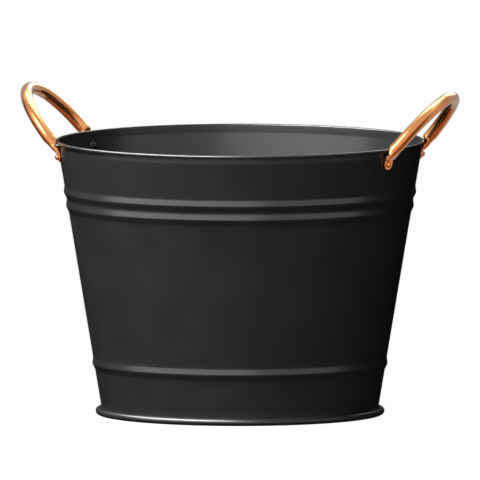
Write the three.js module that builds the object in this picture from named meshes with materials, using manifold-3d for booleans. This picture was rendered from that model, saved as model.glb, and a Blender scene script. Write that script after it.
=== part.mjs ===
// Florist bucket: a tapered sheet-metal tub with a wired rim, three swaged beads and a rolled foot,
// and two round loop handles, each held by two rivets. Millimetres, +Z up. The origin is the middle
// of the ring that the bucket stands on. The handles are on the +X and -X sides.
import * as THREE from "three";
import { mergeVertices } from "three/addons/utils/BufferGeometryUtils.js";
import Module from "manifold-3d";

const wasm = await Module();
wasm.setup();

// ---- the tub ----
const SHEET = 0.6; // thickness of the steel sheet
const GAP = 0.25; // clearance between pieces that bear on each other
const SEGMENTS = 60; // flats round the tub; a rivet sits in the middle of a flat
const RIM_RADIUS = 152.9; // outside of the rim roll
const RIM_HEIGHT = 227.8; // top of the rim roll
const RIM_ROLL = 3.0; // diameter of the rim roll
const RIM_ROLL_END = -110; // degrees, where the curl stops under the roll
const RIM_WIRE = 1.3; // diameter of the wire inside the rim roll
const FOOT_RADIUS = 119.65; // outside of the foot roll
const FOOT_ROLL = 5.7; // diameter of the foot roll
const FOOT_ROLL_END = 132; // degrees, where the curl meets the wall again
const WALL_FOOT_RADIUS = 114.2; // outer face of the wall, level with the middle of the foot roll
const WALL_SLOPE = 0.1668; // the wall leans out this many mm for each mm of height
const BEAD_APEXES = [42.3, 173.0, 184.5]; // heights of the three V beads
const BEAD_PROUD = 1.4; // how far a bead stands out of the wall
const BEAD_ABOVE = 5.2; // height of the face above the apex
const BEAD_BELOW = 4.8; // height of the face below the apex
const FLANGE_HEIGHT = 1.2; // the wall's turned-out lower edge, inside the foot roll
const FLANGE_RADIUS = 117.0;
const FLANGE_BEND = 0.75; // from the corner to where the bend into the wall starts and ends
const FLOOR_HEIGHT = 5.6; // middle of the base's sheet
const BASE_LEG_RADIUS = 112.9; // middle of the base's turned-down edge, just inside the wall
const BASE_BEND = 1.6; // radius of the base's two bends, to the middle of the sheet
const BEND_STEPS = 2;
const CURL_STEPS = 7;
const WIRE_SIDES = 8;

// ---- handles ----
const ROD = 10.0; // diameter of the handle rod
const LOOP_BASE_X = 143.5; // the loop's plane crosses this distance from the axis ...
const LOOP_BASE_Z = 223.3; // ... at this height
const LOOP_LEAN = THREE.MathUtils.degToRad(40); // from upright
const LOOP_HALF_SPAN = 54.1; // half the width of the loop, to the middle of the rod
const LOOP_RISE = 56.6; // height of the loop in its plane
const LOOP_FULLNESS = 0.93; // under 1 is squarer than an ellipse
const ROUND_FROM = 10.0; // rise at which the rod is fully round
const PAD_THICK = 2.2; // the flattened end that lies on the wall
const PAD_HALF_WIDTH = 5.2;
const PAD_BELOW_RIVET = 4.4;
const PAD_SQUARENESS = 6; // a section's power: 2 is an ellipse, more is nearer a rectangle
const ROD_SIDES = 8; // on each half of the round section
const LOOP_STEPS = 26;
// Sections of the flattened neck from the pad upwards, in the frame of its rivet: distance up the
// wall, out from it and sideways towards the loop's middle, half width, half thickness, squareness,
// and how many degrees the section leans away from the wall.
const NECK_SECTIONS = [
  { up: 3.0, out: GAP + PAD_THICK / 2, inward: 0.2, half: 5.3, thick: PAD_THICK / 2, power: 6, lean: 0 },
  { up: 4.8, out: 2.3, inward: 0.4, half: 5.4, thick: 1.9, power: 5, lean: 14 },
  { up: 7.6, out: 3.1, inward: 0.9, half: 5.45, thick: 2.8, power: 3.2, lean: 27 },
  { up: 9.4, out: 4.5, inward: 1.35, half: 5.5, thick: 2.65, power: 3, lean: 26 },
  { up: 13.05, out: 4.6, inward: 2.2, half: 5.2, thick: 4.5, power: 2.4, lean: 26 },
];

// ---- rivets ----
const RIVET_ANGLE = 21; // degrees each side of the X axis
const RIVET_HEIGHT = 215.1;
const SHANK_RADIUS = 1.5;
const HOLE_RADIUS = SHANK_RADIUS + 0.3;
const HEAD_RADIUS = 2.6;
const HEAD_RISE = 2.4;
const TAIL_RADIUS = 2.4;
const TAIL_RISE = 1.0;
const TAIL_FLAT = 1.7; // radius of the flat on a tail
const WASHER_RADIUS = 4.2;
const WASHER_THICK = 0.9;
const WASHER_FACE = -(SHEET + GAP); // the washer's wall side, measured out from the wall's outer face
const TAIL_FACE = WASHER_FACE - WASHER_THICK - GAP;
const HEAD_FACE = GAP + PAD_THICK + GAP;
const DOME_STEPS = 5;
const FASTENER_SEGMENTS = 16;
const DRILL_LENGTH = 12;

const TAPER = Math.atan(WALL_SLOPE);
const FLAT_FACTOR = Math.cos(Math.PI / SEGMENTS); // middle of a flat against its corners

// ---- materials ----
const finish = (color, roughness, metalness) =>
  new THREE.MeshStandardMaterial({ color, roughness, metalness });
const blackEnamel = () => finish("#262523", 0.42, 0.0);
const copperPlate = () => finish("#c87f4e", 0.22, 1.0);
const plainWire = () => finish("#9b9d9f", 0.45, 1.0);

// ---- helpers ----
const v2 = (r, z) => new THREE.Vector2(r, z);

function arc(centreR, centreZ, radius, fromDegrees, toDegrees, steps) {
  return Array.from({ length: steps + 1 }, (_, i) => {
    const angle = THREE.MathUtils.degToRad(fromDegrees + ((toDegrees - fromDegrees) * i) / steps);
    return v2(centreR + radius * Math.cos(angle), centreZ + radius * Math.sin(angle));
  });
}

// One side of a bent sheet: its middle line moved sideways by a distance, with mitred corners.
function offsetLine(points, distance) {
  return points.map((point, i) => {
    const before = points[Math.max(i - 1, 0)];
    const after = points[Math.min(i + 1, points.length - 1)];
    const arriving = (i > 0 ? point.clone().sub(before) : after.clone().sub(point)).normalize();
    const leaving = (i < points.length - 1 ? after.clone().sub(point) : arriving.clone()).normalize();
    const normal = v2(-arriving.y - leaving.y, arriving.x + leaving.x).normalize();
    const mitre = distance / (normal.x * -arriving.y + normal.y * arriving.x);
    return point.clone().addScaledVector(normal, mitre);
  });
}

function turned(profile, segments) {
  return new THREE.LatheGeometry(profile, segments).rotateX(Math.PI / 2);
}

function toManifold(geometry) {
  const bare = geometry.clone();
  bare.deleteAttribute("normal");
  bare.deleteAttribute("uv");
  const merged = mergeVertices(bare);
  const vertProperties = new Float32Array(merged.attributes.position.array);
  const triVerts = new Uint32Array(merged.index.array);
  return new wasm.Manifold(new wasm.Mesh({ numProp: 3, vertProperties, triVerts }));
}

function toGeometry(solid) {
  const { vertProperties, triVerts } = solid.getMesh();
  const geometry = new THREE.BufferGeometry();
  geometry.setAttribute("position", new THREE.BufferAttribute(vertProperties, 3));
  geometry.setIndex(new THREE.BufferAttribute(triVerts, 1));
  geometry.computeVertexNormals();
  return geometry;
}

function named(name, geometry, material) {
  const mesh = new THREE.Mesh(geometry, material);
  mesh.name = name;
  return mesh;
}

// The frame of a rivet: X along the rim, Y up the wall, Z straight out of the wall's outer face.
function rivetFrame(degrees) {
  const angle = THREE.MathUtils.degToRad(degrees);
  const radius = outerFace(RIVET_HEIGHT) * FLAT_FACTOR;
  const place = new THREE.Vector3(radius * Math.cos(angle), radius * Math.sin(angle), RIVET_HEIGHT);
  const wallNormal = new THREE.Vector3(Math.cos(angle), Math.sin(angle), -WALL_SLOPE).normalize();
  const along = new THREE.Vector3(-Math.sin(angle), Math.cos(angle), 0);
  const upWall = new THREE.Vector3().crossVectors(wallNormal, along);
  return new THREE.Matrix4().makeBasis(along, upWall, wallNormal).setPosition(place);
}

// The hole for a rivet, as a rod to cut away.
function drillAt(degrees) {
  const drill = new THREE.CylinderGeometry(HOLE_RADIUS, HOLE_RADIUS, DRILL_LENGTH, FASTENER_SEGMENTS);
  return toManifold(drill.rotateX(Math.PI / 2).applyMatrix4(rivetFrame(degrees)));
}

// ---- the tub's sheets ----
function outerFace(z) {
  return WALL_FOOT_RADIUS + WALL_SLOPE * (z - FOOT_ROLL / 2);
}

function wallMiddle(z, proud = 0) {
  return v2(outerFace(z) + proud - SHEET / 2 / Math.cos(TAPER), z);
}

function wallLine() {
  const curlRadius = (RIM_ROLL - SHEET) / 2;
  const curlCentre = v2(RIM_RADIUS - RIM_ROLL / 2, RIM_HEIGHT - RIM_ROLL / 2);
  const lipRadius = curlCentre.x - curlRadius;
  const lipFoot = (lipRadius - wallMiddle(0).x) / WALL_SLOPE;
  const beads = BEAD_APEXES.flatMap((z) => [
    wallMiddle(z - BEAD_BELOW), wallMiddle(z, BEAD_PROUD), wallMiddle(z + BEAD_ABOVE),
  ]);
  return [
    v2(FLANGE_RADIUS, FLANGE_HEIGHT),
    v2(WALL_FOOT_RADIUS + FLANGE_BEND, FLANGE_HEIGHT),
    v2(WALL_FOOT_RADIUS, FLANGE_HEIGHT + FLANGE_BEND),
    wallMiddle(FLANGE_HEIGHT + 3 * FLANGE_BEND),
    ...beads,
    v2(lipRadius, lipFoot),
    ...arc(curlCentre.x, curlCentre.y, curlRadius, 180, RIM_ROLL_END, CURL_STEPS),
  ];
}

function bucketWall() {
  const line = wallLine();
  const outline = [...offsetLine(line, -SHEET / 2), ...offsetLine(line, SHEET / 2).reverse()];
  let solid = toManifold(turned([...outline, outline[0]], SEGMENTS));
  for (const degrees of [RIVET_ANGLE, -RIVET_ANGLE, 180 - RIVET_ANGLE, 180 + RIVET_ANGLE]) {
    solid = solid.subtract(drillAt(degrees));
  }
  return named("bucket_wall", toGeometry(solid), blackEnamel());
}

function rimWire() {
  const ring = new THREE.TorusGeometry(RIM_RADIUS - RIM_ROLL / 2, RIM_WIRE / 2, WIRE_SIDES, SEGMENTS);
  return named("rim_wire", ring.translate(0, 0, RIM_HEIGHT - RIM_ROLL / 2), plainWire());
}

// The base's sheet runs from the axis out to the wall, down inside it, flat under its flange and
// round the outside, which makes the foot roll.
function basePan() {
  const rollCentre = FOOT_RADIUS - FOOT_ROLL / 2;
  const rollRadius = (FOOT_ROLL - SHEET) / 2;
  const line = [
    v2(0, FLOOR_HEIGHT),
    ...arc(BASE_LEG_RADIUS - BASE_BEND, FLOOR_HEIGHT - BASE_BEND, BASE_BEND, 90, 0, BEND_STEPS),
    ...arc(BASE_LEG_RADIUS + BASE_BEND, SHEET / 2 + BASE_BEND, BASE_BEND, 180, 270, BEND_STEPS),
    ...arc(rollCentre, FOOT_ROLL / 2, rollRadius, -90, FOOT_ROLL_END, CURL_STEPS),
  ];
  const outline = [...offsetLine(line, -SHEET / 2), ...offsetLine(line, SHEET / 2).reverse()];
  return named("base_pan", turned(outline, SEGMENTS), blackEnamel());
}

// ---- handles ----
// A handle is one rod, swept through stations from the pad of its +Y leg over the loop to the pad of
// its -Y leg. A station has a centre, the section's two directions, its half sizes and squareness.
function footStations() {
  const frame = rivetFrame(RIVET_ANGLE);
  const turn = new THREE.Matrix4().extractRotation(frame);
  const across = new THREE.Vector3(-1, 0, 0).applyMatrix4(turn);
  const wallThrough = new THREE.Vector3(0, 0, 1).applyMatrix4(turn);
  const padOut = GAP + PAD_THICK / 2;
  const tip = [-80, -55, -30, 0].map((degrees) => {
    const angle = THREE.MathUtils.degToRad(degrees);
    const centre = new THREE.Vector3(0, PAD_BELOW_RIVET * Math.sin(angle), padOut).applyMatrix4(frame);
    const half = PAD_HALF_WIDTH * Math.cos(angle);
    return { centre, across, through: wallThrough, half, thick: PAD_THICK / 2, power: PAD_SQUARENESS };
  });
  const neck = NECK_SECTIONS.map(({ up, out, inward, half, thick, power, lean }) => {
    const centre = new THREE.Vector3(-inward, up, out).applyMatrix4(frame);
    const through = wallThrough.clone().applyAxisAngle(across, -THREE.MathUtils.degToRad(lean));
    return { centre, across, through, half, thick, power };
  });
  return [...tip, ...neck];
}

// The round stretch of the rod follows a superellipse in a plane that leans out.
function loopStations() {
  const start = Math.asin((ROUND_FROM / LOOP_RISE) ** (1 / LOOP_FULLNESS));
  const upPlane = new THREE.Vector3(Math.sin(LOOP_LEAN), 0, Math.cos(LOOP_LEAN));
  const through = new THREE.Vector3(Math.cos(LOOP_LEAN), 0, -Math.sin(LOOP_LEAN));
  const loopPoint = (angle) => new THREE.Vector3(LOOP_BASE_X, LOOP_HALF_SPAN * Math.cos(angle), LOOP_BASE_Z)
    .addScaledVector(upPlane, LOOP_RISE * Math.sin(angle) ** LOOP_FULLNESS);
  return Array.from({ length: LOOP_STEPS + 1 }, (_, i) => {
    const angle = start + ((Math.PI - 2 * start) * i) / LOOP_STEPS;
    const tangent = loopPoint(angle + 0.001).sub(loopPoint(angle - 0.001)).normalize();
    const across = new THREE.Vector3().crossVectors(through, tangent);
    return { centre: loopPoint(angle), across, through, half: ROD / 2, thick: ROD / 2, power: 2 };
  });
}

function mirrored(station) {
  const flip = (vector) => vector.clone().setY(-vector.y);
  const { centre, across, through } = station;
  return { ...station, centre: flip(centre), across: flip(across), through: flip(through) };
}

function handle(name) {
  const foot = footStations();
  const stations = [...foot, ...loopStations(), ...foot.map(mirrored).reverse()];
  const last = stations.length - 1;
  const circle = new THREE.Shape().absarc(0, 0, 1, 0, 2 * Math.PI);
  const rod = new THREE.ExtrudeGeometry(circle, {
    depth: last, steps: last, curveSegments: ROD_SIDES, bevelEnabled: false,
  });
  // The straight blank has one station for each unit of its length; each point goes to its station.
  const points = rod.attributes.position;
  for (let i = 0; i < points.count; i++) {
    const { centre, across, through, half, thick, power } = stations[Math.round(points.getZ(i))];
    const squared = (value) => Math.sign(value) * Math.abs(value) ** (2 / power);
    const place = centre.clone()
      .addScaledVector(across, half * squared(points.getX(i)))
      .addScaledVector(through, thick * squared(points.getY(i)));
    points.setXYZ(i, place.x, place.y, place.z);
  }
  let solid = toManifold(rod);
  for (const degrees of [RIVET_ANGLE, -RIVET_ANGLE]) {
    solid = solid.subtract(drillAt(degrees));
  }
  return named(name, toGeometry(solid), copperPlate());
}

// ---- rivets ----
function rivet(name) {
  const quarter = arc(0, 0, 1, 0, 90, DOME_STEPS).slice(0, -1);
  const profile = [
    v2(0, TAIL_FACE - TAIL_RISE),
    v2(TAIL_FLAT, TAIL_FACE - TAIL_RISE),
    v2(TAIL_RADIUS, TAIL_FACE - TAIL_RISE / 2),
    v2(TAIL_RADIUS, TAIL_FACE),
    v2(SHANK_RADIUS, TAIL_FACE),
    v2(SHANK_RADIUS, HEAD_FACE),
    ...quarter.map((p) => v2(HEAD_RADIUS * p.x, HEAD_FACE + HEAD_RISE * p.y)),
    v2(0, HEAD_FACE + HEAD_RISE),
  ];
  return named(name, turned(profile, FASTENER_SEGMENTS), copperPlate());
}

function washer(name) {
  const back = WASHER_FACE - WASHER_THICK;
  const profile = [
    v2(HOLE_RADIUS, back), v2(WASHER_RADIUS, back),
    v2(WASHER_RADIUS, WASHER_FACE), v2(HOLE_RADIUS, WASHER_FACE), v2(HOLE_RADIUS, back),
  ];
  return named(name, turned(profile, FASTENER_SEGMENTS), blackEnamel());
}

// ---- the whole bucket ----
const bucket = new THREE.Group();
bucket.add(bucketWall(), rimWire(), basePan());

const SIDES = [
  { side: "right", degrees: 0 },
  { side: "left", degrees: 180 },
];
for (const { side, degrees } of SIDES) {
  const loop = handle(`${side}_handle`);
  loop.rotation.z = THREE.MathUtils.degToRad(degrees);
  bucket.add(loop);
  for (const [place, sign] of [["front", -1], ["back", 1]]) {
    // Front is the -Y side of the bucket, whichever handle the rivet belongs to.
    const turn = side === "right" ? degrees + sign * RIVET_ANGLE : degrees - sign * RIVET_ANGLE;
    for (const piece of [rivet(`${side}_${place}_rivet`), washer(`${side}_${place}_washer`)]) {
      piece.applyMatrix4(rivetFrame(turn));
      bucket.add(piece);
    }
  }
}

export default bucket;
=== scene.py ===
# %% [markdown]
# # A florist bucket in satin black with copper handles
# The bucket is a tapered tub of thin sheet steel. Its rim is curled round a wire, three V-shaped
# beads stiffen the wall, and the base's edge is rolled round the wall's foot. Two copper-plated rod
# handles are pressed flat at their ends and riveted on just under the rim.
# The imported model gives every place. Each piece made here is a finer version of one of its solids,
# in metres, in the same frame.

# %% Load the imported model
import math

import bmesh
import bpy
import numpy as np
from mathutils import Matrix, Vector


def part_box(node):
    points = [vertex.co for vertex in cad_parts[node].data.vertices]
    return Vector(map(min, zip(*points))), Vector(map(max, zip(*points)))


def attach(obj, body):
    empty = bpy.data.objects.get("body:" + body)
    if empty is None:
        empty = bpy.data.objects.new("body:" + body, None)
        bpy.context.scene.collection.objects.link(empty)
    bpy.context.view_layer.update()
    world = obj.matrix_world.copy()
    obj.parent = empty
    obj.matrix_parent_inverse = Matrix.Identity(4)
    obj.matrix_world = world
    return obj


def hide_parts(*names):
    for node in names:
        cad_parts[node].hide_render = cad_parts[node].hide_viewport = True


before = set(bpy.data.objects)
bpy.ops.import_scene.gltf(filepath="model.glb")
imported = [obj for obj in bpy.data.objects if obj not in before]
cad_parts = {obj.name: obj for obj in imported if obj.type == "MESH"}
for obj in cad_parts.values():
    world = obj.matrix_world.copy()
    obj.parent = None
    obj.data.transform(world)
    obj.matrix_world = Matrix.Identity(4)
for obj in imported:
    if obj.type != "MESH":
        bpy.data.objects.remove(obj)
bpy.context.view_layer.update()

MM = 0.001
print("nodes:", sorted(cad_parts))

# %% [markdown]
# ## Sizes
# The rim roll, the foot roll and the wire come from the boxes of their own solids, so this script
# can't drift away from the model. What a box can't say, such as the height of a bead, is written
# here once, in millimetres.

# %% Sizes of the tub
SHEET = 0.6 * MM
RIM_ROLL = 3.0 * MM  # diameter of the curl at the rim
FOOT_ROLL = 5.7 * MM  # diameter of the roll that the bucket stands on
WALL_SLOPE = 0.1668  # the wall leans out by this share of its height
BEAD_APEXES = (42.3 * MM, 173.0 * MM, 184.5 * MM)
BEAD_PROUD = 1.5 * MM
BEAD_ABOVE = 5.2 * MM
BEAD_BELOW = 4.8 * MM

rim_radius, rim_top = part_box("bucket_wall")[1].x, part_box("bucket_wall")[1].z
foot_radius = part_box("base_pan")[1].x
WALL_INSET = 5.45 * MM  # from the outside of the foot roll in to the wall's outer face
wall_foot_radius = foot_radius - WALL_INSET  # level with the middle of the foot roll
rim_roll_centre = (rim_radius - RIM_ROLL / 2, rim_top - RIM_ROLL / 2)
foot_roll_centre = (foot_radius - FOOT_ROLL / 2, FOOT_ROLL / 2)
print("rim", round(rim_radius / MM, 2), "foot", round(foot_radius / MM, 2), "mm from the axis")


def outer_face(z):
    """Radius of the wall's outer face at a height, without the beads."""
    return wall_foot_radius + WALL_SLOPE * (z - FOOT_ROLL / 2)


# %% [markdown]
# ## One helper for every node
# Materials, the light all round and Geometry Nodes are trees of nodes. This function adds one node
# to a tree, sets its properties and fills its sockets. A socket that is given another node's output
# becomes a link, and anything else becomes the socket's value.

# %% Add a node
def add(tree, kind, sockets=None, **settings):
    node = tree.nodes.new(kind)
    for name, value in settings.items():
        setattr(node, name, value)
    for key, value in (sockets or {}).items():
        if isinstance(value, bpy.types.NodeSocket):
            tree.links.new(value, node.inputs[key])
        else:
            node.inputs[key].default_value = value
    return node


def linear(hex_colour):
    """An sRGB hex colour as the linear RGBA that a shader takes."""
    channels = [int(hex_colour[i : i + 2], 16) / 255 for i in (1, 3, 5)]
    return (*[c / 12.92 if c <= 0.04045 else ((c + 0.055) / 1.055) ** 2.4 for c in channels], 1.0)


def new_material(name):
    """An empty material, its tree and its Principled shader."""
    material = bpy.data.materials.new(name)
    material.use_nodes = True
    return material, material.node_tree, material.node_tree.nodes["Principled BSDF"]


print("mid grey is", round(linear("#808080")[0], 3), "in linear light")

# %% [markdown]
# ## Satin black stove enamel
# The steel is sprayed black and baked. A baked coat is a dielectric: nearly all that the eye gets
# from it is a soft reflection, and very little is the colour underneath. Matting powder in the coat
# blurs the reflection and weakens it, so the specular level is below that of clear gloss.
# Close up it has orange peel, shallow waves about 2 mm across left as the coat levels out, and a
# finer grain of matting powder. The grain is about 0.1 mm on the real coat, and is drawn at 0.5 mm
# so that it shows. Crests that hands rub are a little lighter and smoother: Pointiness says where
# the surface is convex.

# %% Black enamel
PEEL_SIZE = 2.2 * MM
MATTING_SIZE = 0.5 * MM
CLOUD_SIZE = 38 * MM  # broad patches where the coat is a little softer
PEEL_HEIGHT = 0.012 * MM
MATTING_HEIGHT = 0.002 * MM


def satin_black_enamel():
    material, tree, shader = new_material("satin_black_stove_enamel")
    place = add(tree, "ShaderNodeTexCoord").outputs["Object"]
    peel = add(tree, "ShaderNodeTexNoise", {
        "Vector": place, "Scale": 1 / PEEL_SIZE, "Detail": 1.0,
    })
    matting = add(tree, "ShaderNodeTexNoise", {
        "Vector": place, "Scale": 1 / MATTING_SIZE, "Detail": 1.0,
    })
    cloud = add(tree, "ShaderNodeTexNoise", {
        "Vector": place, "Scale": 1 / CLOUD_SIZE, "Detail": 4.0,
    })
    convex = add(tree, "ShaderNodeNewGeometry").outputs["Pointiness"]
    crest = add(tree, "ShaderNodeMapRange", {"Value": convex, "From Min": 0.53, "From Max": 0.62})
    coat = add(tree, "ShaderNodeMix", {
        "Factor": cloud.outputs["Fac"], "A": linear("#111111"), "B": linear("#161616"),
    }, data_type="RGBA")
    rubbed = add(tree, "ShaderNodeMix", {
        "Factor": crest.outputs["Result"], "A": coat.outputs["Result"], "B": linear("#1f1f1e"),
    }, data_type="RGBA")
    softness = add(tree, "ShaderNodeMapRange", {
        "Value": cloud.outputs["Fac"], "From Min": 0.3, "From Max": 0.7,
        "To Min": 0.29, "To Max": 0.34,
    })
    smoothed = add(tree, "ShaderNodeMath", {
        0: crest.outputs["Result"], 1: -0.06, 2: softness.outputs["Result"],
    }, operation="MULTIPLY_ADD")
    fine = add(tree, "ShaderNodeBump", {
        "Height": matting.outputs["Fac"], "Distance": MATTING_HEIGHT,
    })
    waves = add(tree, "ShaderNodeBump", {
        "Height": peel.outputs["Fac"], "Distance": PEEL_HEIGHT, "Normal": fine.outputs["Normal"],
    })
    tree.links.new(rubbed.outputs["Result"], shader.inputs["Base Color"])
    tree.links.new(smoothed.outputs["Value"], shader.inputs["Roughness"])
    tree.links.new(waves.outputs["Normal"], shader.inputs["Normal"])
    shader.inputs["IOR"].default_value = 1.5
    shader.inputs["Specular IOR Level"].default_value = 0.4
    return material


enamel = satin_black_enamel()
print(enamel.name, "has", len(enamel.node_tree.nodes), "nodes")

# %% [markdown]
# ## Bright copper plate
# The handles are steel rod with a thin coat of copper, polished along their length. Metal has no
# colour under its surface: its base colour is the tint of its reflection. Polishing leaves fine
# lines that run along the rod, so the noise is squeezed across the rod and stretched along it. It
# reads the attribute "grain", which the handle's own nodes store, because the lines have to follow
# the bend. Real lines are a few hundredths of a millimetre apart, and are drawn ten times as coarse
# so that they show. Copper also darkens in patches where hands don't keep it bright. A thin clear
# lacquer slows that down. It is the shader's coat, and its own reflection is white, so it makes the
# highlights paler than the copper.

# %% Copper
LINE_WIDTH = 0.45 * MM
LINE_LENGTH = 22 * MM
LINE_DEPTH = 0.003 * MM
PATCH_SIZE = 11 * MM


def bright_copper_plate():
    material, tree, shader = new_material("bright_copper_plate")
    grain = add(tree, "ShaderNodeAttribute", attribute_name="grain").outputs["Vector"]
    along = add(tree, "ShaderNodeMapping", {
        "Vector": grain, "Scale": (1 / LINE_WIDTH, 1 / LINE_WIDTH, 1 / LINE_LENGTH),
    })
    lines = add(tree, "ShaderNodeTexNoise", {
        "Vector": along.outputs["Vector"], "Scale": 1.0, "Detail": 3.0,
    })
    patches = add(tree, "ShaderNodeTexNoise", {
        "Vector": grain, "Scale": 1 / PATCH_SIZE, "Detail": 4.0,
    })
    tarnish = add(tree, "ShaderNodeMapRange", {
        "Value": patches.outputs["Fac"], "From Min": 0.42, "From Max": 0.75, "To Max": 0.55,
    })
    colour = add(tree, "ShaderNodeMix", {
        "Factor": tarnish.outputs["Result"], "A": linear("#f0a868"), "B": linear("#cf8148"),
    }, data_type="RGBA")
    shine = add(tree, "ShaderNodeMapRange", {
        "Value": lines.outputs["Fac"], "From Min": 0.3, "From Max": 0.7,
        "To Min": 0.17, "To Max": 0.26,
    })
    dulled = add(tree, "ShaderNodeMath", {
        0: tarnish.outputs["Result"], 1: 0.08, 2: shine.outputs["Result"],
    }, operation="MULTIPLY_ADD")
    relief = add(tree, "ShaderNodeBump", {"Height": lines.outputs["Fac"], "Distance": LINE_DEPTH})
    tree.links.new(colour.outputs["Result"], shader.inputs["Base Color"])
    tree.links.new(dulled.outputs["Value"], shader.inputs["Roughness"])
    tree.links.new(relief.outputs["Normal"], shader.inputs["Normal"])
    shader.inputs["Metallic"].default_value = 1.0
    shader.inputs["Coat Weight"].default_value = 0.6
    shader.inputs["Coat Roughness"].default_value = 0.12
    return material


copper = bright_copper_plate()
print(copper.name, "has", len(copper.node_tree.nodes), "nodes")

# %% [markdown]
# ## Plain drawn steel wire
# The wire inside the rim is bare steel, drawn through a die, so it is grey and half shiny, with a
# little oxide from storage. Only a thin line of it can be seen, from inside and below.

# %% Steel wire
OXIDE_SIZE = 3.5 * MM
PIT_DEPTH = 0.01 * MM


def drawn_steel_wire():
    material, tree, shader = new_material("drawn_steel_wire")
    place = add(tree, "ShaderNodeTexCoord").outputs["Object"]
    oxide = add(tree, "ShaderNodeTexNoise", {
        "Vector": place, "Scale": 1 / OXIDE_SIZE, "Detail": 5.0,
    })
    colour = add(tree, "ShaderNodeMix", {
        "Factor": oxide.outputs["Fac"], "A": linear("#b4b5b6"), "B": linear("#7d7a76"),
    }, data_type="RGBA")
    dull = add(tree, "ShaderNodeMapRange", {
        "Value": oxide.outputs["Fac"], "To Min": 0.3, "To Max": 0.55,
    })
    pits = add(tree, "ShaderNodeBump", {"Height": oxide.outputs["Fac"], "Distance": PIT_DEPTH})
    tree.links.new(colour.outputs["Result"], shader.inputs["Base Color"])
    tree.links.new(dull.outputs["Result"], shader.inputs["Roughness"])
    tree.links.new(pits.outputs["Normal"], shader.inputs["Normal"])
    shader.inputs["Metallic"].default_value = 1.0
    return material


wire_steel = drawn_steel_wire()
print(wire_steel.name, "has", len(wire_steel.node_tree.nodes), "nodes")

# %% [markdown]
# ## The start and the end of a Geometry Nodes tree
# Each tree has named inputs. It ends by making instances real, because an export drops them, and by
# setting the finish, because a mesh made by nodes has lost its material.

# %% Start and end a tree
def new_tree(name, inputs):
    """An empty tree with one geometry output, and its inputs' sockets."""
    tree = bpy.data.node_groups.new(name, "GeometryNodeTree")
    for socket, kind in inputs.items():
        tree.interface.new_socket(socket, in_out="INPUT", socket_type="NodeSocket" + kind)
    tree.interface.new_socket("Made", in_out="OUTPUT", socket_type="NodeSocketGeometry")
    return tree, add(tree, "NodeGroupInput").outputs


def end_tree(tree, geometry, finish):
    real = add(tree, "GeometryNodeRealizeInstances", {"Geometry": geometry})
    finished = add(tree, "GeometryNodeSetMaterial", {
        "Geometry": real.outputs["Geometry"], "Material": finish,
    })
    add(tree, "NodeGroupOutput", {"Made": finished.outputs["Geometry"]})
    print(tree.name, "has", len(tree.nodes), "nodes")
    return tree


# %% [markdown]
# ## The lock seam
# The wall is one sheet bent round, and its two edges hook together in a flat seam on the -X side.
# These nodes say how far each point is lifted for it. The lift is a product of factors between 0
# and 1: one for the distance from the -X line, one for the right side of the axis, and one for each
# end. Map Range set to smooth step makes the sides and the ends soft.

# %% How far the seam lifts a point
SEAM_SIDE = 0.9 * MM  # width of the seam's sloping sides
SEAM_FADE = 3.0 * MM  # length of its faded ends


def seam_lift(tree, given, sine, cosine, radius, height):
    sideways = add(tree, "ShaderNodeMath", {0: sine, 1: radius}, operation="MULTIPLY").outputs[0]
    distance = add(tree, "ShaderNodeMath", {0: sideways}, operation="ABSOLUTE").outputs[0]
    edge = add(tree, "ShaderNodeMath", {
        0: given["Seam Half Width"], 1: SEAM_SIDE,
    }, operation="ADD")
    strip = add(tree, "ShaderNodeMapRange", {
        "Value": distance, "From Min": edge.outputs[0], "From Max": given["Seam Half Width"],
    }, interpolation_type="SMOOTHSTEP")
    behind = add(tree, "ShaderNodeMath", {0: cosine, 1: 0.0}, operation="LESS_THAN")
    fades = []
    for end, into in (("Seam Low", 1), ("Seam High", -1)):
        inner = add(tree, "ShaderNodeMath", {0: given[end], 1: into * SEAM_FADE}, operation="ADD")
        fades.append(add(tree, "ShaderNodeMapRange", {
            "Value": height, "From Min": given[end], "From Max": inner.outputs[0],
        }, interpolation_type="SMOOTHSTEP").outputs["Result"])
    lift = strip.outputs["Result"]
    for factor in (behind.outputs[0], *fades, given["Seam Proud"]):
        lift = add(tree, "ShaderNodeMath", {0: lift, 1: factor}, operation="MULTIPLY").outputs[0]
    return lift


print("the seam fades out over", SEAM_FADE / MM, "mm")

# %% [markdown]
# ## A tree that turns an outline round the axis
# The tub was spun and rolled, so every sheet of it is an outline carried round a circle. A lathe
# function could do it, and so could the Spin tool. Geometry Nodes do it with one tree for the wall,
# the base, the wire, the rivets and the washers, with a named input for each size. Curve to Mesh
# carries the outline round a closed circle, so no seam is left where it starts and ends.
# A second step moves each point round the axis to crowd the columns towards the -X side, where the
# lock seam needs them, and then lifts the seam.

# %% The turning tree
WELD = 0.001 * MM  # points nearer than this become one


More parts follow.
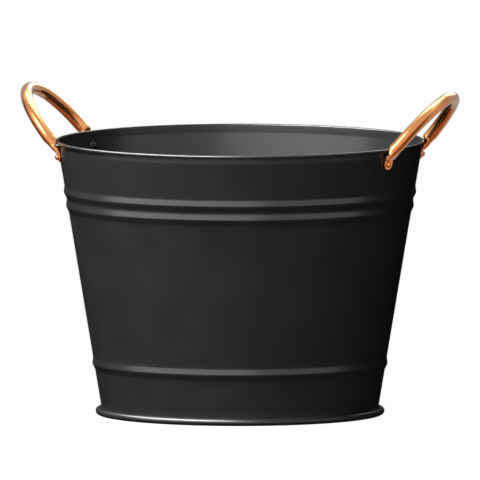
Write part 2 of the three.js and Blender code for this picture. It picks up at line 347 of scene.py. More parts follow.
def turning_tree():
    tree, given = new_tree("turn_outline", {
        "Outline": "Geometry", "Ring Radius": "Float", "Crowding": "Float", "Seam Proud": "Float",
        "Seam Half Width": "Float", "Seam Low": "Float", "Seam High": "Float", "Columns": "Int",
        "Finish": "Material",
    })

    # Curve to Mesh takes the outline's X as outwards and its Y as down, measured from the circle.
    outline = add(tree, "GeometryNodeMeshToCurve", {"Mesh": given["Outline"]})
    inwards = add(tree, "ShaderNodeMath", {0: given["Ring Radius"], 1: -1.0}, operation="MULTIPLY")
    shift = add(tree, "ShaderNodeCombineXYZ", {"X": inwards.outputs[0]})
    laid = add(tree, "GeometryNodeTransform", {
        "Geometry": outline.outputs["Curve"], "Translation": shift.outputs["Vector"],
        "Rotation": (math.radians(90), 0.0, 0.0),
    })
    circle = add(tree, "GeometryNodeCurvePrimitiveCircle", {
        "Resolution": given["Columns"], "Radius": given["Ring Radius"],
    })
    swept = add(tree, "GeometryNodeCurveToMesh", {
        "Curve": circle.outputs["Curve"], "Profile Curve": laid.outputs["Geometry"],
    })

    # Polar coordinates of each point: its angle is moved by crowding times the angle's sine.
    place = add(tree, "GeometryNodeInputPosition").outputs["Position"]
    xyz = add(tree, "ShaderNodeSeparateXYZ", {"Vector": place}).outputs
    angle = add(tree, "ShaderNodeMath", {0: xyz["Y"], 1: xyz["X"]}, operation="ARCTAN2").outputs[0]
    sine = add(tree, "ShaderNodeMath", {0: angle}, operation="SINE").outputs[0]
    turned = add(tree, "ShaderNodeMath", {
        0: sine, 1: given["Crowding"], 2: angle,
    }, operation="MULTIPLY_ADD").outputs[0]
    flat = add(tree, "ShaderNodeCombineXYZ", {"X": xyz["X"], "Y": xyz["Y"]}).outputs["Vector"]
    radius = add(tree, "ShaderNodeVectorMath", {0: flat}, operation="LENGTH").outputs["Value"]
    cosine = add(tree, "ShaderNodeMath", {0: turned}, operation="COSINE").outputs[0]
    sine = add(tree, "ShaderNodeMath", {0: turned}, operation="SINE").outputs[0]
    lift = seam_lift(tree, given, sine, cosine, radius, xyz["Z"])
    reach = add(tree, "ShaderNodeMath", {0: radius, 1: lift}, operation="ADD").outputs[0]
    placed = add(tree, "ShaderNodeCombineXYZ", {
        "X": add(tree, "ShaderNodeMath", {0: cosine, 1: reach}, operation="MULTIPLY").outputs[0],
        "Y": add(tree, "ShaderNodeMath", {0: sine, 1: reach}, operation="MULTIPLY").outputs[0],
        "Z": xyz["Z"],
    })
    moved = add(tree, "GeometryNodeSetPosition", {
        "Geometry": swept.outputs["Mesh"], "Position": placed.outputs["Vector"],
    })
    marked = add(tree, "GeometryNodeStoreNamedAttribute", {
        "Geometry": moved.outputs["Geometry"], "Name": "grain", "Value": place,
    }, data_type="FLOAT_VECTOR")
    closed = add(tree, "GeometryNodeMergeByDistance", {
        "Geometry": marked.outputs["Geometry"], "Distance": WELD,
    })
    smooth = add(tree, "GeometryNodeSetShadeSmooth", {"Geometry": closed.outputs["Geometry"]})
    return end_tree(tree, smooth.outputs["Geometry"], given["Finish"])


turn_outline = turning_tree()

# %% [markdown]
# ## From a tree to a plain mesh
# A rough object carries an outline and a Geometry Nodes modifier. Its inputs are set by their
# identifiers before it is first evaluated. The evaluated shape is then copied out as a plain mesh,
# its doubles are merged and its faces are turned outwards. A sheet gets its thickness only after
# that, half on each side of its middle line, because a shell that already had two sides could be
# turned inside out.

# %% Carry out a tree
DOUBLE = 0.0005 * MM  # points nearer than this are the same point


def linked(mesh):
    piece = bpy.data.objects.new(mesh.name, mesh)
    bpy.context.scene.collection.objects.link(piece)
    return piece


def evaluated(rough):
    """The rough object's shape after its modifiers, as a plain mesh. The rough object goes."""
    graph = bpy.context.evaluated_depsgraph_get()
    mesh = bpy.data.meshes.new_from_object(
        rough.evaluated_get(graph), preserve_all_data_layers=True, depsgraph=graph,
    )
    name, before = rough.name, rough.data
    bpy.data.objects.remove(rough)
    bpy.data.meshes.remove(before)
    mesh.name = name
    return mesh


def outward(mesh):
    shape = bmesh.new()
    shape.from_mesh(mesh)
    bmesh.ops.remove_doubles(shape, verts=shape.verts, dist=DOUBLE)
    bmesh.ops.recalc_face_normals(shape, faces=shape.faces)
    shape.to_mesh(mesh)
    shape.free()


def grown(name, mesh, tree, **inputs):
    """What a tree makes of a mesh, as a plain mesh with its faces outwards."""
    mesh.name = name
    rough = linked(mesh)
    modifier = rough.modifiers.new("nodes", "NODES")
    modifier.node_group = tree
    sockets = {s.name: s.identifier for s in tree.interface.items_tree if s.in_out == "INPUT"}
    for key, value in inputs.items():
        modifier[sockets[key.replace("_", " ").title()]] = value
    result = evaluated(rough)
    outward(result)
    return result


def sheet_metal(mesh):
    """A middle surface as a sheet of steel."""
    rough = linked(mesh)
    solid = rough.modifiers.new("thickness", "SOLIDIFY")
    solid.thickness = SHEET
    solid.offset = 0.0
    solid.use_even_offset = True
    return evaluated(rough)


def report(piece):
    shape = bmesh.new()
    shape.from_mesh(piece.data)
    open_edges = sum(not edge.is_manifold for edge in shape.edges)
    triangles = sum(len(face.verts) - 2 for face in shape.faces)
    volume = shape.calc_volume(signed=True) / MM**3
    shape.free()
    print(f"{piece.name}: {triangles} triangles, {open_edges} open edges, {volume:.0f} mm3")


# %% [markdown]
# ## Outline of the wall
# An outline is the middle line of the sheet, drawn in the XZ plane with X as the distance from the
# axis. A bead is a V pressed outwards from inside. A press never leaves a knife edge, so the V is
# averaged over 0.9 mm, which rounds its crest and its two roots alike. Points lie close together at
# a bead and far apart on the plain wall.

# %% The wall's middle line
BEAD_SOFTNESS = 0.45 * MM  # half of the height over which a bead is averaged
BEAD_SAMPLES = 15


def bead(z):
    """How far the three beads stand out at a height."""
    window = z + np.linspace(-BEAD_SOFTNESS, BEAD_SOFTNESS, BEAD_SAMPLES)
    proud = np.zeros_like(window)
    for apex in BEAD_APEXES:
        rise = window - apex
        share = 1 - np.where(rise > 0, rise / BEAD_ABOVE, -rise / BEAD_BELOW)
        proud = np.maximum(proud, BEAD_PROUD * share)
    return float(np.maximum(proud, 0).mean())


def wall_middle(z):
    return (outer_face(z) + bead(z) - SHEET / 2 * math.hypot(1, WALL_SLOPE), z)


def arc(centre, radius, start, end, steps):
    """Points round part of a circle, with angles in degrees."""
    angles = np.radians(np.linspace(start, end, steps + 1))
    return [(centre[0] + radius * math.cos(a), centre[1] + radius * math.sin(a)) for a in angles]


FLANGE_RADIUS = 117.0 * MM  # the wall's foot turns out inside the roll
FLANGE_HEIGHT = 1.2 * MM
FLANGE_BEND = ((1.0, 1.2), (0.4, 1.4), (0.05, 1.9))  # mm out from the wall, and mm up
PLAIN_FROM = 3.4 * MM  # height where the plain wall starts
PLAIN_STEPS = 24
BEAD_STEP = 0.5 * MM
BEAD_MARGIN = 1 * MM  # kept free of the plain wall's points, on each side of a bead
LIP_BEND = 1.2 * MM  # the wall bends upright this far below the curl's lip
LIP_EASE = 0.04 * MM
LIP_HEIGHT = 1.0 * MM
RIM_CURL_END = -110  # degrees
RIM_CURL_STEPS = 26


def wall_outline():
    curl = (RIM_ROLL - SHEET) / 2
    lip = rim_roll_centre[0] - curl
    lip_foot = FOOT_ROLL / 2 + (lip - wall_foot_radius + SHEET / 2) / WALL_SLOPE
    heights = list(np.linspace(PLAIN_FROM, lip_foot - LIP_BEND, PLAIN_STEPS))
    for apex in BEAD_APEXES:
        near = apex + np.arange(
            -BEAD_BELOW - BEAD_SOFTNESS, BEAD_ABOVE + BEAD_SOFTNESS, BEAD_STEP,
        )
        low, high = near[0] - BEAD_MARGIN, near[-1] + BEAD_MARGIN
        heights = [z for z in heights if not low < z < high] + list(near)
    return [
        (FLANGE_RADIUS, FLANGE_HEIGHT),
        *[(wall_foot_radius + out * MM, up * MM) for out, up in FLANGE_BEND],
        *[wall_middle(z) for z in sorted(heights)],
        (lip - LIP_EASE, lip_foot), (lip, lip_foot + LIP_HEIGHT),
        *arc(rim_roll_centre, curl, 180, RIM_CURL_END, RIM_CURL_STEPS),
    ]


def outline_mesh(points, closed=False):
    """Points joined in a row, as a mesh of edges in the XZ plane."""
    count = len(points)
    edges = [(i, (i + 1) % count) for i in range(count if closed else count - 1)]
    mesh = bpy.data.meshes.new("outline")
    mesh.from_pydata([(r, 0.0, z) for r, z in points], edges, [])
    return mesh


wall_points = wall_outline()
print("wall outline:", len(wall_points), "points")

# %% [markdown]
# ## The wall and the base
# The wall is one sheet from its turned-out foot to the curl at the rim, with the lock seam under
# the left handle. The base is one sheet from the axis to the wall, down inside it, flat under its
# foot and round the outside, which makes the roll that the bucket stands on.

# %% The wall
TUB_COLUMNS = 320
CROWDING = 0.8
SEAM_PROUD = 0.75 * MM
SEAM_HALF_WIDTH = 2.6 * MM
SEAM_LOW = 5.0 * MM
SEAM_BELOW_RIM = 4.5 * MM
wall_sheet = linked(sheet_metal(grown(
    "wall_sheet", outline_mesh(wall_points), turn_outline, finish=enamel,
    ring_radius=rim_radius, columns=TUB_COLUMNS, crowding=CROWDING, seam_proud=SEAM_PROUD,
    seam_half_width=SEAM_HALF_WIDTH, seam_low=SEAM_LOW, seam_high=rim_top - SEAM_BELOW_RIM,
)))
report(wall_sheet)

# %% [markdown]
# The base has no seam, but its columns are crowded as the wall's are, so that the two meshes match
# where the roll is closed round the wall. The rim wire is a plain ring.

# %% The base and the rim wire
BASE_LEG = 112.9 * MM  # middle of the base's turned-down edge, just inside the wall
FLOOR_HEIGHT = 5.6 * MM
BEND = 1.6 * MM
BEND_STEPS = 8
FLOOR_RINGS = 12
FOOT_CURL_END = 132  # degrees, where the curl meets the wall again
FOOT_CURL_STEPS = 30
base_points = [
    *[(r, FLOOR_HEIGHT) for r in np.linspace(0, BASE_LEG - BEND, FLOOR_RINGS)[:-1]],
    *arc((BASE_LEG - BEND, FLOOR_HEIGHT - BEND), BEND, 90, 0, BEND_STEPS),
    *arc((BASE_LEG + BEND, SHEET / 2 + BEND), BEND, 180, 270, BEND_STEPS),
    *arc(foot_roll_centre, (FOOT_ROLL - SHEET) / 2, -90, FOOT_CURL_END, FOOT_CURL_STEPS),
]
NO_SEAM = {"seam_proud": 0.0, "seam_half_width": 1.0 * MM, "seam_low": 0.0, "seam_high": 1.0}
base_sheet = linked(sheet_metal(grown(
    "base_sheet", outline_mesh(base_points), turn_outline, finish=enamel,
    ring_radius=foot_radius, columns=TUB_COLUMNS, crowding=CROWDING, **NO_SEAM,
)))

WIRE_SIDES = 16
WIRE_COLUMNS = 240
wire_low, wire_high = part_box("rim_wire")
wire_outline = arc(rim_roll_centre, (wire_high.z - wire_low.z) / 2, 0, 360, WIRE_SIDES)[:-1]
rim_wire_ring = linked(grown(
    "rim_wire_ring", outline_mesh(wire_outline, closed=True), turn_outline, finish=wire_steel,
    ring_radius=rim_roll_centre[0], columns=WIRE_COLUMNS, crowding=0.0, **NO_SEAM,
))
for piece in (base_sheet, rim_wire_ring):
    report(piece)

# %% [markdown]
# ## The tree for a flattened rod
# A handle is one steel rod: round over the loop, pressed flat at its two ends. A curve with a bevel
# can only be round, so the rod is swept through stations instead. Each station is a point of an
# edge chain that carries the section there: its two directions, its half width, its half thickness
# and its squareness. The tree carries a circle along the chain and moves each point to the section
# that its station asks for. Squareness 2 gives an ellipse and 6 nearly a rectangle.

# %% The rod tree
STATION_VECTORS = ("across", "through")
STATION_NUMBERS = ("half", "thick", "power", "travel")


def rod_tree():
    tree, given = new_tree("flattened_rod", {
        "Stations": "Geometry", "Sides": "Int", "Grain Radius": "Float", "Finish": "Material",
    })
    position = add(tree, "GeometryNodeInputPosition").outputs["Position"]
    chain = add(tree, "GeometryNodeMeshToCurve", {"Mesh": given["Stations"]})
    centred = add(tree, "GeometryNodeStoreNamedAttribute", {
        "Geometry": chain.outputs["Curve"], "Name": "centre", "Value": position,
    }, data_type="FLOAT_VECTOR")
    circle = add(tree, "GeometryNodeCurvePrimitiveCircle", {
        "Resolution": given["Sides"], "Radius": 1.0,
    })
    profile = add(tree, "GeometryNodeStoreNamedAttribute", {
        "Geometry": circle.outputs["Curve"], "Name": "section", "Value": position,
    }, data_type="FLOAT_VECTOR")
    swept = add(tree, "GeometryNodeCurveToMesh", {
        "Curve": centred.outputs["Geometry"], "Profile Curve": profile.outputs["Geometry"],
    })

    read = {}
    kinds = {"FLOAT_VECTOR": (*STATION_VECTORS, "centre", "section"), "FLOAT": STATION_NUMBERS}
    for kind, names in kinds.items():
        for name in names:
            node = add(tree, "GeometryNodeInputNamedAttribute", {"Name": name}, data_type=kind)
            read[name] = node.outputs["Attribute"]
    section = add(tree, "ShaderNodeSeparateXYZ", {"Vector": read["section"]}).outputs
    exponent = add(tree, "ShaderNodeMath", {
        0: 2.0, 1: read["power"],
    }, operation="DIVIDE").outputs[0]
    place = read["centre"]
    for axis, size, towards in (("X", "half", "across"), ("Y", "thick", "through")):
        bare = add(tree, "ShaderNodeMath", {0: section[axis]}, operation="ABSOLUTE").outputs[0]
        raised = add(tree, "ShaderNodeMath", {0: bare, 1: exponent}, operation="POWER").outputs[0]
        sign = add(tree, "ShaderNodeMath", {0: section[axis]}, operation="SIGN").outputs[0]
        signed = add(tree, "ShaderNodeMath", {0: raised, 1: sign}, operation="MULTIPLY").outputs[0]
        reach = add(tree, "ShaderNodeMath", {
            0: signed, 1: read[size],
        }, operation="MULTIPLY").outputs[0]
        offset = add(tree, "ShaderNodeVectorMath", {
            0: read[towards], "Scale": reach,
        }, operation="SCALE").outputs[0]
        place = add(tree, "ShaderNodeVectorMath", {0: place, 1: offset}, operation="ADD").outputs[0]
    moved = add(tree, "GeometryNodeSetPosition", {
        "Geometry": swept.outputs["Mesh"], "Position": place,
    })

    # The grain's first two coordinates go round the rod and the third runs along it.
    round_rod = add(tree, "ShaderNodeVectorMath", {
        0: read["section"], "Scale": given["Grain Radius"],
    }, operation="SCALE").outputs[0]
    lengthways = add(tree, "ShaderNodeCombineXYZ", {"Z": read["travel"]}).outputs["Vector"]
    grain = add(tree, "ShaderNodeVectorMath", {
        0: round_rod, 1: lengthways,
    }, operation="ADD").outputs[0]
    marked = add(tree, "GeometryNodeStoreNamedAttribute", {
        "Geometry": moved.outputs["Geometry"], "Name": "grain", "Value": grain,
    }, data_type="FLOAT_VECTOR")
    smooth = add(tree, "GeometryNodeSetShadeSmooth", {"Geometry": marked.outputs["Geometry"]})
    return end_tree(tree, smooth.outputs["Geometry"], given["Finish"])


flattened_rod = rod_tree()

# %% [markdown]
# ## Where the rivets sit
# A rivet's axis goes through the middle of its washer, and stands square on the sloping wall. The
# seat is the point of that axis on the wall's outer face. The other directions of the seat are up
# the wall and round it.

# %% Rivet seats
WASHER_MIDDLE = 1.3 * MM  # how far inside the outer face the washer's middle lies


def seat_of(washer):
    low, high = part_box(washer)
    middle = (low + high) / 2
    angle = math.atan2(middle.y, middle.x)
    normal = Vector((math.cos(angle), math.sin(angle), -WALL_SLOPE)).normalized()
    height = middle.z + WASHER_MIDDLE * normal.z
    radius = outer_face(height)
    place = Vector((radius * math.cos(angle), radius * math.sin(angle), height))
    along = Vector((-math.sin(angle), math.cos(angle), 0.0))
    return {"place": place, "normal": normal, "along": along, "up": normal.cross(along)}


WASHERS = [f"{side}_{end}_washer" for side in ("right", "left") for end in ("back", "front")]
seats = {name: seat_of(name) for name in WASHERS}
for name, seat in seats.items():
    print(name, [round(c / MM, 1) for c in seat["place"]])

# %% [markdown]
# ## The handles
# The pad at each end lies on the wall, under its rivet. Above the pad the rod leaves the wall,
# thickens and turns round over the rim: that part is the neck. The loop itself follows a
# superellipse in a plane that leans out by 40 degrees, with the rod's circle as its section all the
# way. A few key sections describe a neck, measured from the rivet's seat. Cubic curves that never
# overshoot fill in between them.

# %% Sizes of a handle
ROD = 10.0 * MM
LOOP_BASE = Vector((143.5, 0.0, 223.3)) * MM  # where the loop's plane meets its own middle
LOOP_LEAN = math.radians(40)
LOOP_HALF_SPAN = 54.1 * MM
LOOP_RISE = 56.6 * MM
LOOP_FULLNESS = 0.93  # under 1 is squarer than an ellipse
ROUND_FROM = 10.0 * MM  # rise at which the rod is fully round
PAD_THICK = 2.2 * MM
PAD_BELOW = 4.4 * MM  # from the rivet to the pad's end
TOUCH = 0.03 * MM  # a hair of air, so that two faces never share a plane
PAD_MIDDLE = TOUCH / MM + PAD_THICK / MM / 2  # mm out from the wall
# Up the wall, out from it and towards the loop's middle, in mm, then half width, half thickness,
# squareness, and how many degrees the section leans away from the wall.
PAD_KEY = (0.0, PAD_MIDDLE, 0.0, 5.2, 1.1, 6.0, 0)
NECK_KEYS = [
    (3.0, PAD_MIDDLE, 0.2, 5.3, 1.1, 5.5, 0),
    (4.8, 2.1, 0.4, 5.4, 1.9, 4.4, 14),
    (7.6, 2.9, 0.9, 5.45, 2.8, 3.5, 27),
    (9.4, 4.3, 1.35, 5.5, 2.65, 3.0, 26),
    (13.05, 4.4, 2.2, 5.2, 4.5, 2.4, 26),
]
print("a neck has", len(NECK_KEYS), "key sections over the pad's")

# %% Curves that never overshoot
def smooth_through(knots, values, places):
    """Cubic curves through the values at the knots. They never overshoot."""
    step = np.diff(knots)[:, None]
    slope = np.diff(values, axis=0) / step
    before, after = slope[:-1], slope[1:]
    agree = before * after > 0
    middle = np.where(agree, 2 * before * after / np.where(agree, before + after, 1), 0)
    tangent = np.vstack([slope[:1], middle, slope[-1:]])
    i = np.clip(np.searchsorted(knots, places, side="right") - 1, 0, len(step) - 1)
    t = ((places - knots[i]) / step[i, 0])[:, None]
    return (
        values[i] * (1 + 2 * t) * (1 - t) ** 2 + values[i + 1] * t**2 * (3 - 2 * t)
        + step[i] * (tangent[i] * t * (1 - t) ** 2 - tangent[i + 1] * t**2 * (1 - t))
    )


middle = smooth_through(np.array([0, 1]), np.array([[0.0], [1.0]]), np.array([0.5]))
print("half way between 0 and 1 the curve is at", middle.item())

# %% [markdown]
# A station is a row of twelve numbers: its centre, its two directions, its half width, its half
# thickness and its squareness. Where a rod leans and thickens at once, its middle and its direction
# hardly say where its surface goes. So the neck's curves run through the middles of the section's
# outer and inner faces, and the centre, the direction and the thickness are worked out from them.

# %% Stations
CENTRE, ACROSS, THROUGH = slice(0, 3), slice(3, 6), slice(6, 9)
HALF, THICK, POWER = 9, 10, 11
Y_COLUMNS = [1, 4, 7]
SMALL_TURN = 0.001  # radians, for the loop's direction


def station(centre, across, through, half, thick, power):
    return np.array([*centre, *across, *through, half, thick, power])


def loop_station(angle):
    def point(a):
        rise = LOOP_RISE * math.sin(a) ** LOOP_FULLNESS
        return LOOP_BASE + Vector((
            rise * math.sin(LOOP_LEAN), LOOP_HALF_SPAN * math.cos(a), rise * math.cos(LOOP_LEAN),
        ))
    through = Vector((math.cos(LOOP_LEAN), 0.0, -math.sin(LOOP_LEAN)))
    tangent = (point(angle + SMALL_TURN) - point(angle - SMALL_TURN)).normalized()
    return station(point(angle), through.cross(tangent), through, ROD / 2, ROD / 2, 2.0)


def foot_station(seat, up, out, inward, half, thick, power, lean):
    up, out, inward, half, thick = (MM * length for length in (up, out, inward, half, thick))
    across = -seat["along"]
    lean = math.radians(lean)
    through = seat["normal"] * math.cos(lean) - seat["up"] * math.sin(lean)
    centre = seat["place"] + seat["up"] * up + seat["normal"] * out + across * inward
    return station(centre, across, through, half, thick, power)


def to_faces(rows):
    """Puts the middles of a section's outer and inner face in place of its centre and direction."""
    reach = rows[:, THROUGH] * rows[:, THICK, None]
    faces = rows.copy()
    faces[:, CENTRE], faces[:, THROUGH] = rows[:, CENTRE] + reach, rows[:, CENTRE] - reach
    return faces


def from_faces(faces):
    rows = faces.copy()
    reach = (faces[:, CENTRE] - faces[:, THROUGH]) / 2
    rows[:, CENTRE] = (faces[:, CENTRE] + faces[:, THROUGH]) / 2
    rows[:, THICK] = np.linalg.norm(reach, axis=1)
    rows[:, THROUGH] = reach / rows[:, THICK, None]
    return rows


print("a station is a row of", len(loop_station(math.pi / 2)), "numbers")

# %% [markdown]
# The pad's end is a half disc with a rounded edge: its sections get narrower and thinner by powers
# of a cosine. The neck's last two keys are stations of the loop, so that it runs into the loop
# without a kink. Half a handle is made at the right back rivet, and the other half is its mirror
# image.

# %% Both halves of a handle
TIP_STEPS = 15
TIP_NARROWING = 0.8  # nearly an ellipse, a little fuller
TIP_THINNING = 0.35  # the end is rounded over its thickness too
NECK_STEPS = 44
LOOP_STEPS = 70  # over half of the loop
LOOP_KEY = 3  # the station of the loop that gives the neck its last direction


def half_handle(seat):
    """Stations from the pad's end to just before the top of the loop."""
    _, out, inward, half, thick, power, lean = PAD_KEY
    tip = []
    for angle in np.radians(np.linspace(-90, 0, TIP_STEPS)[:-1]):
        tip.append(foot_station(
            seat, PAD_BELOW / MM * math.sin(angle), out, inward,
            half * math.cos(angle) ** TIP_NARROWING, thick * math.cos(angle) ** TIP_THINNING,
            power, lean,
        ))
    start = math.asin((ROUND_FROM / LOOP_RISE) ** (1 / LOOP_FULLNESS))
    loop = [loop_station(a) for a in np.linspace(start, math.pi / 2, LOOP_STEPS)]
    feet = [foot_station(seat, *key) for key in (PAD_KEY, *NECK_KEYS)]
    keys = np.array([*feet, loop[0], loop[LOOP_KEY]])
    steps = np.linalg.norm(np.diff(keys[:, CENTRE], axis=0), axis=1)
    knots = np.concatenate([[0], np.cumsum(steps)])
    places = np.linspace(0, knots[-2], NECK_STEPS)[:-1]
    neck = from_faces(smooth_through(knots, to_faces(keys), places))
    return np.array([*tip, *neck, *loop[:-1]])


def handle_stations():
    """Both halves. The second is the first one's mirror image, walked backwards."""
    near = half_handle(seats["right_back_washer"])
    far = near[::-1].copy()
    far[:, Y_COLUMNS] *= -1
    return np.vstack([near, [loop_station(math.pi / 2)], far])


stations = handle_stations()
print("a handle has", len(stations), "stations")

# %% [markdown]
# The stations become a chain of edges whose points carry the sections as attributes, and the tree
# sweeps them. The left handle is the right one turned half way round the axis, with its grain moved
# on along the rod so that the two don't wear the same marks.

# %% Handles
ROD_SIDES = 48
GRAIN_SHIFT = 0.5  # metres along the rod


def station_chain(rows):
    mesh = bpy.data.meshes.new("stations")
    edges = [(i, i + 1) for i in range(len(rows) - 1)]
    mesh.from_pydata(rows[:, CENTRE].tolist(), edges, [])
    steps = np.linalg.norm(np.diff(rows[:, CENTRE], axis=0), axis=1)
    travel = np.concatenate([[0], np.cumsum(steps)])
    vectors = (rows[:, ACROSS], rows[:, THROUGH])
    numbers = (rows[:, HALF], rows[:, THICK], rows[:, POWER], travel)
    for name, values in zip(STATION_VECTORS, vectors):
        layer = mesh.attributes.new(name, "FLOAT_VECTOR", "POINT")
        layer.data.foreach_set("vector", values.ravel())
    for name, values in zip(STATION_NUMBERS, numbers):
        mesh.attributes.new(name, "FLOAT", "POINT").data.foreach_set("value", values)
    return mesh


handle_right = linked(grown(
    "handle_right", station_chain(stations), flattened_rod, sides=ROD_SIDES,
    grain_radius=ROD / 2, finish=copper,
))
left_mesh = handle_right.data.copy()
left_mesh.name = "handle_left"
left_mesh.transform(Matrix.Rotation(math.pi, 4, "Z"))
for mark in left_mesh.attributes["grain"].data:
    mark.vector.z += GRAIN_SHIFT
handle_left = linked(left_mesh)
for piece in (handle_right, handle_left):
    report(piece)

# %% [markdown]
# ## Rivets and washers
# A rivet has a round head outside, a shank through the pad and the wall, and a tail that was
# flattened over a washer inside. One outline is turned for the rivet and one for the washer. A last
# tree then puts a copy on each seat, with its axis along the seat's own normal, which is how
# screws, studs and other fasteners are best placed.

# %% The seating tree
def seating_tree():
    tree, given = new_tree("set_on_seats", {
        "Seats": "Geometry", "Part": "Object", "Finish": "Material",
    })
    part = add(tree, "GeometryNodeObjectInfo", {"Object": given["Part"]})
    normal = add(tree, "GeometryNodeInputNamedAttribute", {
        "Name": "normal",
    }, data_type="FLOAT_VECTOR")
    facing = add(tree, "FunctionNodeAlignRotationToVector", {
        "Vector": normal.outputs["Attribute"],
    }, axis="Z")
    placed = add(tree, "GeometryNodeInstanceOnPoints", {
        "Points": given["Seats"], "Instance": part.outputs["Geometry"],
        "Rotation": facing.outputs["Rotation"],
    })
    return end_tree(tree, placed.outputs["Instances"], given["Finish"])


set_on_seats = seating_tree()

# %% [markdown]
# The tails and the washers inside are black, as if sprayed with the tub. So the rivets have the
# enamel as a second material slot, for each face that lies inside the wall's outer face.

# %% Rivets and washers
FASTENER_COLUMNS = 40
FASTENER_RING = 2.0 * MM  # any circle will do: the outline already says how wide the part is
HEAD_RADIUS, HEAD_RISE, HEAD_STEPS = 2.6 * MM, 2.4 * MM, 16
TAIL_RADIUS, TAIL_RISE, TAIL_STEPS = 2.4 * MM, 1.0 * MM, 10
SHANK_RADIUS = 1.5 * MM
WASHER_RADIUS, WASHER_THICK = 4.2 * MM, 0.9 * MM
CORNER, CORNER_STEPS = 0.2 * MM, 4  # of a stamped edge


def seated(name, outline, closed, finish):
    """A turned part on every seat, as one mesh."""
    part = linked(grown(
        name + "_part", outline_mesh(outline, closed), turn_outline, finish=finish,
        columns=FASTENER_COLUMNS, ring_radius=FASTENER_RING, crowding=0.0, **NO_SEAM,
    ))
    points = bpy.data.meshes.new("seats")
    points.from_pydata([seat["place"] for seat in seats.values()], [], [])
    normals = np.array([seat["normal"] for seat in seats.values()])
    layer = points.attributes.new("normal", "FLOAT_VECTOR", "POINT")
    layer.data.foreach_set("vector", normals.ravel())
    whole = linked(grown(name, points, set_on_seats, part=part, finish=finish))
    bpy.data.objects.remove(part)
    return whole


def cap(radius, face, rise, start, end, steps):
    """Outline of a domed head or tail on a flat face."""
    return [(radius * x, face + rise * z) for x, z in arc((0, 0), 1, start, end, steps)]


head_face = 2 * TOUCH + PAD_THICK
washer_face = -SHEET - 3 * TOUCH
tail_face = washer_face - WASHER_THICK - TOUCH
rivet_outline = [
    *cap(TAIL_RADIUS, tail_face, -TAIL_RISE, 90, 0, TAIL_STEPS),
    (SHANK_RADIUS, tail_face), (SHANK_RADIUS, head_face),
    *cap(HEAD_RADIUS, head_face, HEAD_RISE, 0, 90, HEAD_STEPS),
]
inner, outer = SHANK_RADIUS + 2 * CORNER, WASHER_RADIUS - CORNER
low, high = washer_face - WASHER_THICK + CORNER, washer_face - CORNER
corners = [((outer, low), -90), ((outer, high), 0), ((inner, high), 90), ((inner, low), 180)]
washer_outline = [
    point for middle, start in corners
    for point in arc(middle, CORNER, start, start + 90, CORNER_STEPS)
]
rivet_set = seated("rivet_set", rivet_outline, closed=False, finish=copper)
washer_set = seated("washer_set", washer_outline, closed=True, finish=enamel)
rivet_set.data.materials.append(enamel)
for face in rivet_set.data.polygons:
    inside = math.hypot(face.center.x, face.center.y) < outer_face(face.center.z)
    face.material_index = int(inside)  # 0 is the copper, 1 the enamel
for piece in (rivet_set, washer_set):
    report(piece)

# %% [markdown]
# ## Each piece takes the place of its solid
# Nothing on this bucket moves, so everything rides on the one body. Each finished mesh stands for
# the plain solids named beside it, and says which of the record's finishes it wears.

# %% Stand in for the solids
STANDS_FOR = [
    (wall_sheet, "black_enamel", ["bucket_wall"]),
    (base_sheet, "black_enamel", ["base_pan"]),
    (rim_wire_ring, "plain_wire", ["rim_wire"]),
    (handle_right, "copper", ["right_handle"]),
    (handle_left, "copper", ["left_handle"]),
    (rivet_set, "copper", [name.replace("washer", "rivet") for name in WASHERS]),
    (washer_set, "black_enamel", WASHERS),
]
for piece, finish, nodes in STANDS_FOR:
    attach(piece, "root")
    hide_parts(*nodes)
    print(piece.name, "stands for", ", ".join(nodes))

# %% [markdown]
# ## Floor
# A large pale floor is the background too, since the camera looks down on it only slightly. It
# glows a little by itself, as the paper sweep of a studio does under its own lamps, and that keeps
# it even. Black enamel would mirror such a floor as a grey haze, so studios flag it off with black
# card: here the floor isn't seen by glossy rays, and the world below the horizon is the dark card.

# %% Floor
FLOOR_HALF = 15.0
FLOOR_DEPTH = 0.5  # a slab: a low camera that stands inside it still sees its pale underside


def pale_floor():
    mesh = bpy.data.meshes.new("studio_floor")
    ring = ((-1, -1), (1, -1), (1, 1), (-1, 1))
    corners = [(x * FLOOR_HALF, y * FLOOR_HALF, z) for z in (-FLOOR_DEPTH, 0.0) for x, y in ring]
    sides = [(i, (i + 1) % 4, (i + 1) % 4 + 4, i + 4) for i in range(4)]
    mesh.from_pydata(corners, [], [(3, 2, 1, 0), (4, 5, 6, 7), *sides])
    material, tree, shader = new_material("pale_paper_sweep")
    shader.inputs["Base Color"].default_value = linear("#ececea")
    shader.inputs["Roughness"].default_value = 0.9
    shader.inputs["Specular IOR Level"].default_value = 0.1
    shader.inputs["Emission Color"].default_value = linear("#ffffff")
    shader.inputs["Emission Strength"].default_value = 0.95
    material.cycles.emission_sampling = "NONE"
    mesh.materials.append(material)
    return linked(mesh)


floor = pale_floor()
floor.visible_glossy = False
print("the floor is", 2 * FLOOR_HALF, "m wide")

# %% [markdown]
# ## Light
# Black and copper want different light, so each light is kept to the black pieces or to the copper
# ones, as flags and cards do in a studio. Light linking does it with a collection of receivers.
# Each lamp faces the bucket from a direction given as an angle round the axis, from the view, and a
# height above the horizon. A softbox is an area light, and its energy is worked out from its
# radiance, so that its size can be changed without changing its brightness. A dome is a sun with a
# very wide angle: it lights evenly, like a white wall.

# %% Lamps
VIEW_ANGLE = 14.62  # degrees round the axis from the -Y side
VIEW_HEIGHT = 5.06
DOME_ANGLE = 150
DOME_DISTANCE = 3.0  # a sun shines alike from anywhere, so this only keeps it out of the way


def direction(around, above):
    """A unit vector towards an angle round the axis and a height, both in degrees."""
    a, e = math.radians(around), math.radians(above)
    return Vector((math.sin(a) * math.cos(e), -math.cos(a) * math.cos(e), math.sin(e)))


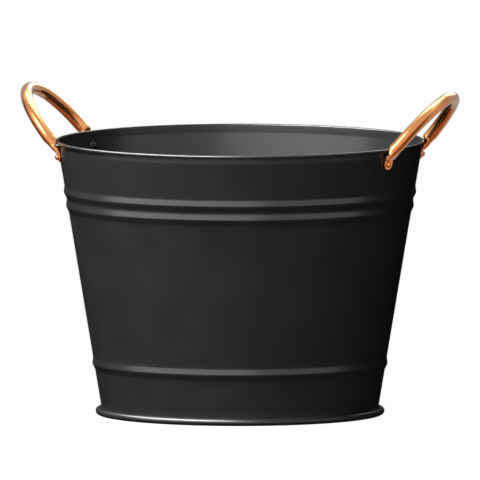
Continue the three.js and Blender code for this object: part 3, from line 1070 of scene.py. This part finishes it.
def lamp(name, kind, pieces, around, above, distance):
    """A light that faces the bucket and reaches only some of the pieces."""
    light = bpy.data.lights.new(name, kind)
    holder = bpy.data.objects.new(name, light)
    bpy.context.scene.collection.objects.link(holder)
    towards = direction(VIEW_ANGLE + around, above)
    holder.location = Vector((0.0, 0.0, rim_top / 2)) + towards * distance
    holder.rotation_euler = towards.to_track_quat("Z", "Y").to_euler()
    holder.visible_camera = False
    receivers = bpy.data.collections.new(name + "_receivers")
    for piece in pieces:
        receivers.objects.link(piece)
    holder.light_linking.receiver_collection = receivers
    return light


def softbox(name, pieces, around, above, distance, width, height, radiance):
    light = lamp(name, "AREA", pieces, around, above, distance)
    light.shape = "RECTANGLE"
    light.size, light.size_y = width, height
    light.energy = radiance * math.pi * width * height


def dome(name, pieces, around, above, radiance, colour):
    light = lamp(name, "SUN", pieces, around, above, DOME_DISTANCE)
    light.angle = math.radians(DOME_ANGLE)
    light.energy = radiance * math.pi * math.sin(light.angle / 2) ** 2
    light.color = linear(colour)[:3]


print("the view is", VIEW_ANGLE, "degrees round and", VIEW_HEIGHT, "degrees up")

# %% [markdown]
# The key is high on the camera's left and makes the line along the rim, and the side one lights the
# tub's left edge. Three broad low boxes in front light the beads' upper faces and the wall between
# them, and a weaker one stands behind for the back. The copper has a box in front, one overhead and
# one behind, for its highlights, and two domes for its body. Two faint warm domes shine from below,
# as if off the copper itself, because black enamel below a handle gives it nothing to mirror.

# %% Softboxes and domes
BLACK = (wall_sheet, base_sheet, rim_wire_ring, washer_set)
BRIGHT = (handle_right, handle_left, rivet_set)
# Name, pieces, degrees round, degrees up, then distance, width and height in metres, and radiance.
SOFTBOXES = [
    ("key", BLACK, -52, 55, 2.2, 2.0, 0.9, 54.0),
    ("side", BLACK, -108, 45, 2.2, 1.6, 0.9, 22.0),
    ("low_left", BLACK, -66, 11, 2.4, 2.4, 0.9, 4.2),
    ("low_front", BLACK, -12, 11, 2.4, 2.4, 0.9, 3.9),
    ("low_right", BLACK, 52, 11, 2.4, 3.0, 0.9, 1.7),
    ("back", BLACK, 165, 40, 2.6, 1.6, 0.8, 6.0),
    ("copper_front", BRIGHT, -50, 34, 2.4, 1.2, 1.2, 6.5),
    ("copper_overhead", BRIGHT, 170, 68, 2.4, 1.8, 1.4, 4.0),
    ("copper_back", BRIGHT, 160, 30, 2.4, 1.2, 1.2, 2.5),
]
# Name, pieces, degrees round, degrees up, radiance and colour.
DOMES = [
    ("copper_dome_front", BRIGHT, -30, 50, 0.66, "#ffffff"),
    ("copper_dome_back", BRIGHT, 150, 15, 0.42, "#ffffff"),
    ("copper_glow_right", BRIGHT, 50, -35, 0.2, "#ffae80"),
    ("copper_glow_left", BRIGHT, -50, -35, 0.2, "#ffae80"),
]
for row in SOFTBOXES:
    softbox(*row)
for row in DOMES:
    dome(*row)

# %% [markdown]
# The world is a plain grey room: dark below the horizon, as the black card is, and lighter towards
# the top.

# %% The world
CARD_STRENGTH = 0.03
ROOM_STRENGTH = 0.8
world = bpy.data.worlds.new("studio")
world.use_nodes = True
bpy.context.scene.world = world
sky = world.node_tree
ray = add(sky, "ShaderNodeTexCoord").outputs["Generated"]
height = add(sky, "ShaderNodeSeparateXYZ", {"Vector": ray}).outputs["Z"]
lightness = add(sky, "ShaderNodeMapRange", {
    "Value": height, "From Min": -0.05, "From Max": 0.5,
    "To Min": CARD_STRENGTH, "To Max": ROOM_STRENGTH,
}, interpolation_type="SMOOTHSTEP")
sky.links.new(lightness.outputs["Result"], sky.nodes["Background"].inputs["Strength"])
print("the world has", len(sky.nodes), "nodes")

# %% [markdown]
# ## Camera
# A long lens from far off draws the rim and the foot as the same flat ellipses, so the camera is
# orthographic. It looks at a point on the axis, a little over half way up the tub.

# %% Camera
VIEW_WIDTH = 0.397417  # metres across the picture
AIM_HEIGHT = 144.4 * MM
CAMERA_DISTANCE = 3.0
FARTHEST = 100.0  # metres, past the floor's far edge
lens = bpy.data.cameras.new("camera")
lens.type = "ORTHO"
lens.ortho_scale = VIEW_WIDTH
lens.clip_end = FARTHEST
camera = bpy.data.objects.new("camera", lens)
bpy.context.scene.collection.objects.link(camera)
towards = direction(VIEW_ANGLE, VIEW_HEIGHT)
camera.location = Vector((0.0, 0.0, AIM_HEIGHT)) + towards * CAMERA_DISTANCE
camera.rotation_euler = towards.to_track_quat("Z", "Y").to_euler()
bpy.context.scene.camera = camera
bpy.context.scene.view_settings.view_transform = "Standard"
print("the camera stands at", [round(c, 2) for c in camera.location])
